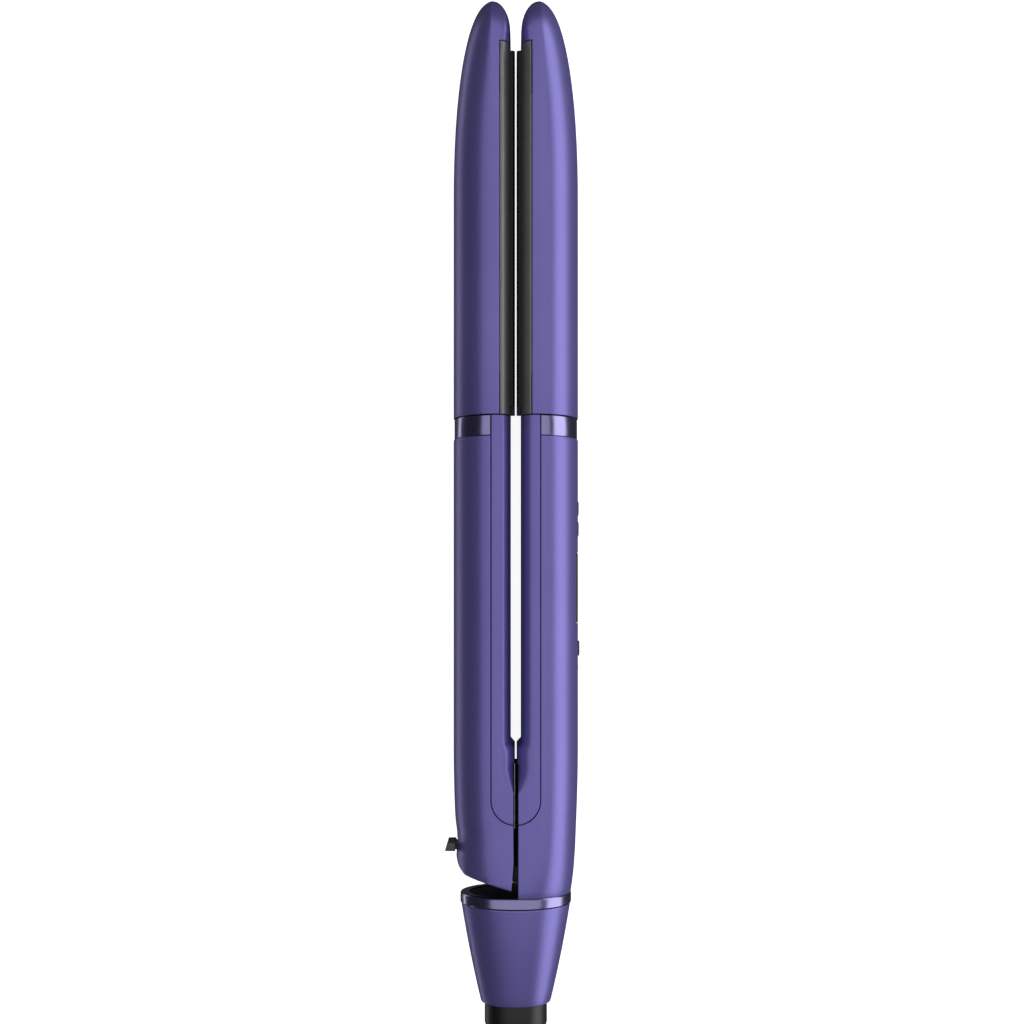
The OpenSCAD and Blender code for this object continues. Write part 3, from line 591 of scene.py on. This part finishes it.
def headRing(s, inset=0.0):  # slice of a heated head, s is the distance from the tip
    s = max(s, 0.0)
    b = (halfDepth - inset) * bulge(s, arm["crest"], 2.2)
    outX = arm["apexX"] + (reach - inset - arm["apexX"]) * bulge(s, arm["ogiveLength"], 2.2)
    inX = arm["apexX"] - (arm["apexX"] - arm["innerX"]) * bulge(s, arm["noseLength"], 2.0)
    grow = (outX - arm["apexX"]) / (reach - inset - arm["apexX"])
    crown = arm["apexX"] - (arm["apexX"] - arm["crownX"]) * grow
    a = max(outX - crown, 0.001)
    crease = 0.85 * max(0.0, 1 - s / arm["creaseFade"]) ** 1.5
    nose = max(0.0, 1 - s / 14) ** 1.3
    opening = min(1, max(0, (s - 11) / 9))
    fx = arm["filletX"] * (0.55 + 0.45 * opening) * (1 - nose)
    fz = arm["filletZ"] * (0.6 + 0.4 * opening) * (1 - nose)
    upper = []
    for i in range(13):  # inner face, rounded edge and flat flank, from the middle up to the crease
        t = i / 12
        if i < 3:
            x, z = inX, (b - fz) * i / 3
        elif i < 10:
            k = (i - 3) / 6 * pi / 2
            x, z = inX + fx * (1 - cos(k)), b - fz * (1 - sin(k))
        else:
            x = inX + fx + (arm["apexX"] - inX - fx) * (i - 9) / 3
            z = b * sqrt(max(0.0, 1 - (max(0.0, x - crown) / a) ** 2))
        k = t * pi / 2
        ex, ez = arm["apexX"] - (arm["apexX"] - inX) * cos(k) ** 0.75, b * sin(k) ** 0.75
        v = (arm["apexX"] - x) / max(arm["apexX"] - inX, 0.001)
        z = z * (1 - 0.16 * crease * v)
        upper.append((x * (1 - nose) + ex * nose, z * (1 - nose) + ez * nose))
    for i in range(1, 23):  # outer face, from the crease down to the middle
        k = i / 22 * pi / 2
        x = arm["apexX"] + (outX - arm["apexX"]) * sin(k)
        u = (x - arm["apexX"]) / max(outX - arm["apexX"], 0.001)
        z0 = sqrt(max(0.0, 1 - ((x - crown) / a) ** 2))
        z1 = sqrt(max(0.0, 1 - u ** arm["creasePower"]))
        upper.append((x, b * (z0 * (1 - crease) + z1 * crease)))
    lower = [(x, -z) for x, z in reversed(upper[1:-1])]
    return upper + lower


def ringsAt(places, ringOf, side):
    return [[(side * x, y, midZ + z) for x, z in ringOf(y)] for y in places]


# heights where the handle's features start, and the half widths of its closing pad and slit
grip = {"taperY": -70, "thumbY": -94.6, "thumbDeep": 0.55, "padTop": -68.6, "padLow": -73, "padX": 0.25,
        "slitX": 0.65, "scoopY": -71, "roundY": -88}


def arcRadius(y):  # radius of the round end that the handles run into
    table = [(-80, 17.6), (-89, 17.6), (-97, 17.2), (-104, 16.5), (collarHigh[1], 15.62), (-116, 15.0)]
    for (y0, r0), (y1, r1) in zip(table, table[1:]):
        if y >= y1:
            return r0 + (r1 - r0) * min(1, max(0, (y0 - y) / (y0 - y1)))
    return table[-1][1]


def handleRing(y, side, inset=0.0):  # slice of a handle at height y
    share = max(0.0, (grip["taperY"] - y) / (grip["taperY"] - collarHigh[1])) ** 1.8
    b = halfDepth - inset - 1.5 * share
    outX = reach - inset - 1.75 * share
    if side < 0 and not inset:  # hollow for the thumb above the lock lever
        outX -= grip["thumbDeep"] * 2.718 ** (-((y - grip["thumbY"]) / 3.4) ** 2)
    slit = grip["slitX"] if side > 0 else grip["slitX"] + 0.6 * min(1, max(0, (-100 - y) / 8))
    if y > grip["padTop"]:  # the handles close on a pad just above the slit
        inX = grip["padX"] + (arm["innerX"] - grip["padX"]) * min(1, (y - grip["padTop"]) / 1.3)
    else:
        inX = grip["padX"] + (slit - grip["padX"]) * min(1, max(0, (grip["padLow"] - y) / 0.4))
    fade = min(1.0, max(0.0, (grip["scoopY"] - y) / 10))  # the rounded edge ends in a scoop
    scoop = sqrt(1 - fade ** 5)
    fx = max(0.25, (arm["innerX"] + arm["filletX"] - inX) * scoop)
    fz = max(0.25, arm["filletZ"] * (1 - fade ** 1.7))
    if inset:
        inX, fx, fz = arm["innerX"] + inset, max(0.3, arm["filletX"] * scoop - inset), max(0.3, fz - inset)
    crown = arm["crownX"]
    a = outX - crown
    roundShare = min(1.0, max(0.0, (grip["roundY"] - y) / 22)) ** 1.5
    radius = arcRadius(y) - inset + (0.9 * min(1, max(0, (-92 - y) / 5)) if side < 0 else 0)
    upper = []
    for i in range(14):
        if i < 3:
            x, z = inX, (b - fz) * i / 3
        elif i < 10:
            k = (i - 3) / 6 * pi / 2
            x, z = inX + fx * (1 - cos(k)), b - fz * (1 - sin(k))
        else:
            x, z = inX + fx + (crown - 0.08 - inX - fx) * (i - 9) / 4, b
        target = sqrt(max(1.0, radius ** 2 - x ** 2)) * z / b
        upper.append((x, z + (target - z) * roundShare))
    for i in range(27):
        k = pi / 2 - i / 26 * pi / 2
        x, z = crown + a * cos(k), b * sin(k)
        turn = atan2(sqrt(radius ** 2 - crown ** 2), crown) * k / (pi / 2)
        tx, tz = radius * cos(turn), radius * sin(turn)
        upper.append((x + (tx - x) * roundShare, z + (tz - z) * roundShare))
    lower = [(x, -z) for x, z in reversed(upper[1:-1])]
    return upper + lower


headPlaces = [tipY - s for s in (
    0.0, 0.12, 0.35, 0.75, 1.3, 2.0, 3.0, 4.2, 5.6, 7.2, 9, 11, 13, 15.5, 18.5, 22, 26, 30, 35, 40, 46, 52, 58,
    70, 85, 100)]
handlePlaces = [
    bandTop + 1, 17, 0, -20, -40, -55, -64, -67.3, -68.6, -71, -73, -73.4, -75, -76, -77, -78, -79, -79.8,
    -80.4, -80.8, -81.1, -83, -85, -87, -88.5, -90, -91.5, -93, -94.5, -96, -98, -100, -102, -104, -106, -108,
    collarHigh[1]]
seam = {"gap": 0.22, "ease": 0.16}
# the carrier's depth into the arm, the plate's two faces, and the ease round the plate in its pocket
carrier = {"deep": 4.4, "plateFace": 0.23, "plateBack": 2.75, "pocketDeep": 3.6, "ease": 0.15}


def onCrease(c):
    return c.y > tipY - arm["creaseShow"] and abs(abs(c.x) - arm["apexX"]) < 0.02


for side, name in ((1, "fixed"), (-1, "moving")):
    body = "root" if side > 0 else "moving_arm"
    # solid of the whole head, used for the shell and for the carrier
    places = headPlaces + [bandTop + seam["gap"]]
    rings = ringsAt(places, lambda y: headRing(tipY - y), side)
    whole = wrapGrid(name + "Head", rings)
    strip = copyOf(whole, name + "Carrier")
    hollowPlaces = [y - 3.4 for y in headPlaces[6:]] + [bandTop - 3]
    inner = wrapGrid("hollow", ringsAt(hollowPlaces, lambda y: headRing(tipY - 5.4 - y + 2, arm["wall"]), side))
    cut(inner, addBlock("solidNose", [-30, carrierTop - 1, midZ - 25], [30, tipY + 5, midZ + 25]))
    cut(whole, inner)
    limits = sorted((side * -2, side * (carrier["deep"] + seam["gap"] / 2)))
    cut(whole, addBlock("carrierSpace", [limits[0], bandTop - 5, midZ - 25],
                        [limits[1], carrierTop + seam["gap"], midZ + 25]))
    easeEdges(whole, seam["ease"])
    smooth(whole)
    # the crease that runs down from the tip stays crisp and then fades
    selectEdges(whole, lambda a, b: onCrease(a) and onCrease(b))
    bpy.ops.mesh.mark_sharp()
    bpy.ops.object.mode_set(mode="OBJECT")
    finishPiece(whole, satinPurple, "satin_purple_plastic", body, name + "_head_shell")

    # heat-resistant carrier with the pocket that the plate floats in
    limits = sorted((0, side * (carrier["deep"] - seam["gap"] / 2)))
    cut(strip, addBlock("carrierBlock", [limits[0], bandTop + seam["gap"], midZ - 25],
                        [limits[1], carrierTop - 0.02, midZ + 25]), "INTERSECT")
    plateLow, plateHigh = mmBox(name + "_plate")
    limits = sorted((0, side * carrier["pocketDeep"]))
    cut(strip, addBlock("pocket", [limits[0], plateLow[1] + 0.75, plateLow[2] - carrier["ease"]],
                        [limits[1], plateHigh[1] - 0.75, plateHigh[2] + carrier["ease"]]))
    cut(strip, addBlock("heaterSpace", [-5, 33.5, midZ - 10.2], [5, 116.5, midZ + 10.2]))
    easeEdges(strip, 0.12)
    smooth(strip)
    finishPiece(strip, carrierNylon, "heat_resistant_plastic", body, name + "_plate_carrier")

    # heating plate with rolled long edges
    limits = sorted((side * carrier["plateFace"], side * carrier["plateBack"]))
    plate = addBlock(name + "Plate", [limits[0], plateLow[1] + 0.9, plateLow[2]],
                     [limits[1], plateHigh[1] - 0.9, plateHigh[2]])
    selectEdges(plate, lambda a, b: abs(a.x) < 1 and abs(b.x) < 1 and abs(a.y - b.y) > 5)
    bpy.ops.mesh.bevel(offset=1.0 * mm, segments=8)
    bpy.ops.object.mode_set(mode="OBJECT")
    selectEdges(plate, lambda a, b: max(abs(a.x), abs(b.x)) < 0.6
                and abs(a.y - b.y) < 0.01 and abs(a.z - b.z) > 5)
    bpy.ops.mesh.bevel(offset=0.8 * mm, segments=4)
    bpy.ops.object.mode_set(mode="OBJECT")
    limits = sorted((side * 2.1, side * 4))
    cut(plate, addBlock("heaterChannel", [limits[0], 31, midZ - 10], [limits[1], 119, midZ + 10]))
    smooth(plate)
    finishPiece(plate, plateCeramic, "ceramic_coated_plate", name + "_plate_body", name + "_plate")

    # band, a thin bright inlay set a little below the surface
    bandPlaces = [bandTop - 0.05, (bandTop + bandLow) / 2, bandLow + 0.05]
    bandRings = ringsAt(bandPlaces, lambda y: headRing(tipY - bandTop, 0.25), side)
    band = wrapGrid(name + "Band", bandRings)
    limits = sorted((side * -2, side * (seamX + seam["gap"])))
    cut(band, addBlock("bandSpace", [limits[0], bandLow - 5, midZ - 25], [limits[1], bandTop + 5, midZ + 25]))
    easeEdges(band, 0.22, segments=3)
    smooth(band)
    finishPiece(band, metallisedPurple, "metallic_purple", body, name + "_band")
    print(name, "head made")

# handles, with the window over the display in the fixed one
lens = {"low": -34.0, "high": -14.0, "half": 5.6, "gap": 0.12}
# the moving handle's end: a slanted cut at y, a round corner towards the outer face, and the lever's slot
foot = {"y": -108.2, "round": 5, "roundCentre": (-11.6, -99.9), "turns": (241, 229, 217, 205, 193),
        "slot": (-101.2, -94.9)}
for side, name in ((1, "fixed"), (-1, "moving")):
    body = "root" if side > 0 else "moving_arm"
    whole = wrapGrid(name + "Handle", ringsAt(handlePlaces, lambda y: handleRing(y, side), side))
    innerPlaces = [bandTop + 4] + handlePlaces[1:-1] + [collarHigh[1] - 2]
    innerRings = ringsAt(innerPlaces, lambda y: handleRing(max(y, collarHigh[1]), side, arm["wall"]), side)
    cut(whole, wrapGrid("hollow", innerRings))
    # outline of the inner cover: straight sides with a round lower end
    coverCutter = addRod("coverShape", (0, arcCentreY, midZ - 25), 50, seamX, axis="Z", sides=128)
    selectVerts(coverCutter, lambda c: c.y > arcCentreY + 0.001)
    bpy.ops.transform.resize(value=(1, 0, 1), center_override=(0, (bandTop + 3) * mm, midZ * mm))
    bpy.ops.object.mode_set(mode="OBJECT")
    coverSpace = copyOf(coverCutter, "coverSpace")
    selectVerts(coverSpace, lambda c: True)
    grow = (seamX + seam["gap"]) / seamX
    bpy.ops.transform.resize(value=(grow, grow, 1), center_override=(0, arcCentreY * mm, midZ * mm))
    bpy.ops.object.mode_set(mode="OBJECT")
    cover = copyOf(whole, name + "InnerCover")
    cut(cover, coverCutter, "INTERSECT")
    cut(cover, addBlock("bandLevel", [-30, bandTop - 0.08, midZ - 25], [30, bandTop + 9, midZ + 25]))
    for y in (12.5, -68.0):  # recess of the cover's screw
        start = -0.5 if side > 0 else -2.7
        cut(cover, addRod("screwRecess", (start, y, midZ), 3.2, 2.5))
    easeEdges(cover, seam["ease"])
    smooth(cover)
    finishPiece(cover, satinPurple, "satin_purple_plastic", body, name + "_inner_cover")

    # soft strip that closes the slit between the handles; its near-black colour is partly the strip's own black
    # and partly painted shade for the deep slit
    limits = (-0.3, 1.0) if side > 0 else (-1.0, -0.34)
    sealEnd = -101.2 if side > 0 else -97.5
    seal = None
    for up in (1, -1):
        for low, high, deep, top in ((sealEnd, -82, 13.4, 14.9), (-82.6, -82, 5, 14.9), (-82.6, -73.3, 5, 6.6)):
            zs = sorted((midZ + up * deep, midZ + up * top))
            strip = addBlock("sealStrip", [limits[0], low, zs[0]], [limits[1], high, zs[1]])
            seal = cut(seal, strip, "UNION") if seal else strip
    seal.name = name + "SlitSeal"
    easeEdges(seal, 0.1)
    smooth(seal)
    finishPiece(seal, sealBlackAndSlitShade, "soft_black_pvc", body, name + "_slit_seal")

    cut(whole, coverSpace)
    cut(whole, addBlock("bandLevel", [-30, bandLow - 0.06, midZ - 25], [30, bandTop + 9, midZ + 25]))
    if side < 0:
        # slanted foot that clears the collar when the arm opens
        footPlanes = [((0, foot["y"]), (-0.261, -0.965))]
        for turn in foot["turns"]:
            nx, ny = cos(radians(turn)), sin(radians(turn))
            x, y = foot["roundCentre"]
            footPlanes.append(((x + foot["round"] * nx, y + foot["round"] * ny), (nx, ny)))
        for point, normal in footPlanes:
            pick(whole)
            bpy.ops.object.mode_set(mode="EDIT")
            bpy.ops.mesh.select_all(action="SELECT")
            bpy.ops.mesh.bisect(plane_co=(point[0] * mm, point[1] * mm, 0), plane_no=(normal[0], normal[1], 0),
                                clear_outer=True, use_fill=True)
            bpy.ops.object.mode_set(mode="OBJECT")
        slotLow, slotHigh = foot["slot"]
        cut(whole, addBlock("leverSlot", [-20, slotLow, midZ - 3.3], [-13.2, slotHigh, midZ + 3.3]))
    else:
        glass = copyOf(whole, "displayLens")
        cut(glass, addBlock("lensBlock", [14, lens["low"] + lens["gap"], midZ - lens["half"] + lens["gap"]],
                            [30, lens["high"] - lens["gap"], midZ + lens["half"] - lens["gap"]]), "INTERSECT")
        easeEdges(glass, 0.3, segments=3)
        smooth(glass)
        finishPiece(glass, smokedLens, "smoked_lens", "root", "display_lens")
        cut(whole, addBlock("lensWindow", [14, lens["low"], midZ - lens["half"]],
                            [30, lens["high"], midZ + lens["half"]]))
        for key in ("power", "plus", "minus"):
            low, high = mmBox(key + "_button")
            y = (low[1] + high[1]) / 2
            cut(whole, addRod("buttonHole", (14, y, midZ), 10, 2.35))
        low, high = mmBox("status_light")
        cut(whole, addRod("lightHole", (14, (low[1] + high[1]) / 2, midZ), 10, 0.9, sides=32))
    easeEdges(whole, seam["ease"])
    smooth(whole)
    finishPiece(whole, satinPurple, "satin_purple_plastic", body, name + "_handle_shell")
    print(name, "handle made")

# push buttons: dished caps with a rounded rim
button = {"radius": 2.2, "dish": 0.18, "rim": 0.35}
for key in ("power", "plus", "minus"):
    low, high = mmBox(key + "_button")
    y = (low[1] + high[1]) / 2
    cap = addRod(key + "Button", (low[0], y, midZ), high[0] - low[0], button["radius"], sides=64)
    top = high[0]
    selectFaces(cap, lambda c, n: n.x > 0.9)
    bpy.ops.mesh.bevel(offset=button["rim"] * mm, segments=4)
    bpy.ops.object.mode_set(mode="OBJECT")
    selectFaces(cap, lambda c, n: n.x > 0.99 and c.x > top - 0.05)
    bpy.ops.mesh.inset(thickness=0.25 * mm)
    bpy.ops.mesh.inset(thickness=0.5 * mm)
    bpy.ops.transform.translate(value=(-button["dish"] * mm, 0, 0))
    bpy.ops.object.mode_set(mode="OBJECT")
    smooth(cap)
    finishPiece(cap, buttonAbs, "button_plastic", key + "_key", key + "_button")
print("buttons made")

# lock lever: a ridged thumb piece on a stem
lever = {"ridges": 3, "ridgeFirst": -97.75, "ridgePitch": 0.65, "ridgeRadius": 0.2, "round": 0.25}
leverLow = mmBox("lock_slider")[0]
capBack, capY = -17.05, (-98.25, -95.85)
leverPiece = addBlock("lockLever", [leverLow[0], capY[0], midZ - 6], [capBack, capY[1], midZ + 6])
selectVerts(leverPiece, lambda c: c.x < capBack - 1 and c.y > -97)
bpy.ops.transform.translate(value=(0.7 * mm, 0, 0))
bpy.ops.object.mode_set(mode="OBJECT")
easeEdges(leverPiece, lever["round"], segments=3)
for i in range(lever["ridges"]):
    start = (leverLow[0] + 0.02, lever["ridgeFirst"] + lever["ridgePitch"] * i, midZ - 8)
    cut(leverPiece, addRod("groove", start, 16, lever["ridgeRadius"], axis="Z", sides=16))
stem = addBlock("leverStem", [-17.2, -98.1, midZ - 3], [-12.9, -96, midZ + 3])
cut(leverPiece, stem, "UNION")
slide = addBlock("leverSlide", [-13.8, -101, midZ - 5.4], [-12.82, -92.4, midZ + 5.4])
cut(leverPiece, slide, "UNION")
hook = addBlock("leverHook", [-12.9, -94.6, midZ - 1.7], [3.3, -93, midZ + 1.7])
cut(leverPiece, hook, "UNION")
smooth(leverPiece)
finishPiece(leverPiece, leverAcetal, "lever_plastic", "lock", "lock_slider")
print("lever made")

# tail: collar, cone and strain relief
cone = {"wall": 1.4, "bore": 8.98, "top": 15.5, "slope": 0.157, "bow": 0.0015}
collarTop, collarFoot = collarHigh[1], collarLow[1]
collarRing = turnedPiece("collarRing", [
    (13.2, collarTop), (15.3, collarTop), (15.6, collarTop - 0.08), (15.74, collarTop - 0.3),
    (15.76, collarTop - 0.8), (15.76, collarFoot + 0.8), (15.74, collarFoot + 0.3), (15.6, collarFoot + 0.1),
    (15.3, collarFoot + 0.03),
    (13.2, collarFoot + 0.03), (13.2, collarTop)], sides=128, closed=True)
smooth(collarRing)
finishPiece(collarRing, metallisedPurple, "metallic_purple", "root", "collar_ring")

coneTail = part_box("tail_cone")[0].y / mm


def coneRadius(d):  # d is the distance below the collar
    return cone["top"] - cone["slope"] * d - cone["bow"] * d * d


steps = [0.6, 2, 5, 8, 11, 14, 17, 20, 23, 25.5, 27.2]
profile = [(15.0, collarFoot - 0.04), (coneRadius(0) - 0.12, collarFoot - 0.14),
           (coneRadius(0.3), collarFoot - 0.36)]
profile += [(coneRadius(d), collarFoot - d) for d in steps]
profile += [(coneRadius(27.8) - 0.12, coneTail + 0.3), (coneRadius(28) - 0.4, coneTail + 0.08), (9.4, coneTail),
            (cone["bore"], coneTail + 0.05), (cone["bore"], collarFoot - 23.2), (9.7, collarFoot - 23.2),
            (coneRadius(20) - cone["wall"], collarFoot - 20), (coneRadius(8) - cone["wall"], collarFoot - 8),
            (13.2, collarFoot - 0.2), (15.0, collarFoot - 0.04)]
conePiece = turnedPiece("tailCone", profile, sides=128, closed=True)
smooth(conePiece)
finishPiece(conePiece, satinPurple, "satin_purple_plastic", "root", "tail_cone")

# strain relief: a swivel collar, then a ribbed taper of soft PVC
relief = {"ribs": 7, "ribDepth": 0.9}
reliefEnd, reliefTop = reliefLow[1], reliefHigh[1]
taperTop = coneTail - 9.4
profile = [(8.85, reliefTop), (8.88, coneTail - 5.6), (8.7, coneTail - 6.3), (8.3, coneTail - 7.2),
           (7.4, coneTail - 8.3), (6.5, taperTop)]
pitch = (taperTop - reliefEnd - 2.4) / relief["ribs"]
for i in range(relief["ribs"]):
    y = taperTop - 1.2 - i * pitch
    r = 6.3 - 2.1 * (taperTop - y) / (taperTop - reliefEnd)
    low = r - relief["ribDepth"]
    profile += [(r - 0.15, y), (r - 0.35, y - 0.15), (low + 0.1, y - 0.35), (low, y - 0.6), (low, y - 1.5),
                (low + 0.1, y - 1.75), (r - 0.4, y - 1.95), (r - 0.2, y - 2.1)]
profile += [(4.2, reliefEnd + 0.5), (3.9, reliefEnd + 0.1), (3.2, reliefEnd)]
reliefPiece = turnedPiece("strainRelief", profile, sides=96)
smooth(reliefPiece, 40)
finishPiece(reliefPiece, softPvc, "soft_black_pvc", "swivel", "strain_relief")
print("tail made")

# hardware that keeps its machined shape
finishes = {
    rolledSteel: ["fixed_heater_clamp", "moving_heater_clamp", "fixed_plate_springs", "moving_plate_springs",
                  "hinge_spring", "lock_leaf_spring"],
    zincSteel: ["fixed_head_screws", "fixed_cover_screws", "moving_head_screws", "moving_cover_screws"],
    blackOxide: ["hinge_clip", "hinge_bracket", "hinge_lug", "hinge_pin", "lock_catch"],
    turnedBrass: ["hinge_bushes", "contact_brushes", "slip_rings"],
    polyimideWrap: ["fixed_heater", "moving_heater"],
    glassBead: ["fixed_thermistor", "moving_thermistor"],
    siliconeWire: ["fixed_heater_leads", "moving_heater_leads"],
    pvcWire: ["mains_leads"],
    solderMask: ["control_board"],
    blackThermoset: ["power_module", "tact_switches", "brush_block", "tail_bulkhead"],
    crystalGlass: ["display_module"],
    lightGuide: ["status_light"],
    naturalNylon: ["swivel_hub"],
}
for material, names in finishes.items():
    for node in names:
        dress(nodes[node], material)
print("hardware dressed")

# floor and light
clearSelection()
bpy.ops.mesh.primitive_plane_add(size=8, location=(0, 0, -0.0003))
floor = bpy.context.object
floor.name = "studioFloor"
bpy.ops.object.mode_set(mode="EDIT")
bpy.ops.mesh.select_all(action="SELECT")
bpy.ops.mesh.extrude_region_move(TRANSFORM_OT_translate={"value": (0, 0, 4)})
bpy.ops.mesh.delete(type="ONLY_FACE")
bpy.ops.object.mode_set(mode="OBJECT")
applyPlace(floor)
paper, tree, shader, place = startMaterial("palePaper")  # plain matt backdrop paper
fibre = addNode(tree, "ShaderNodeTexNoise", {"Scale": 900.0, "Detail": 2.0}, {"Vector": place})
tint = mixTint(tree, "#F4F4F5", "#F8F8F8", fibre.outputs[0])
tree.links.new(tint.outputs[2], shader.inputs["Base Color"])
shader.inputs["Roughness"].default_value = 0.95
shader.inputs["Specular IOR Level"].default_value = 0.0
shader.inputs["Emission Color"].default_value = (1, 1, 1, 1)
shader.inputs["Emission Strength"].default_value = 0.9
dress(floor, paper)
floor.visible_glossy = False
floor.visible_diffuse = False
floor.visible_shadow = False


def addPanel(name, place, aim, size, power):  # soft box turned towards a point
    clearSelection()
    bpy.ops.object.light_add(type="AREA", location=place)
    lamp = bpy.context.object
    lamp.name = name
    lamp.data.shape = "RECTANGLE"
    lamp.data.size, lamp.data.size_y = size
    lamp.data.energy = power
    dx, dy, dz = [a - p for a, p in zip(aim, place)]
    lamp.rotation_euler = (atan2(hypot(dx, dy), -dz), 0, atan2(dx, -dy) + (pi if abs(dx) + abs(dy) > 0 else 0))


addPanel("overheadPanel", (0, 0.52, 1.3), (0, 0.52, 0), (3.5, 3.05), 27.3)
addPanel("sideStrip", (0.9, 0, 0.035), (0, 0, 0.0), (1.6, 0.7), 7.7)
addPanel("rimStrip", (-0.55, -0.1, -0.5), (0, -0.1, 0.0), (1.3, 0.12), 0.75)
world = bpy.data.worlds.new("studio")
bpy.context.scene.world = world
world.use_nodes = True
world.node_tree.nodes["Background"].inputs[0].default_value = linear("#3A3A3E")
world.node_tree.nodes["Background"].inputs[1].default_value = 1.0
print("floor and light made")
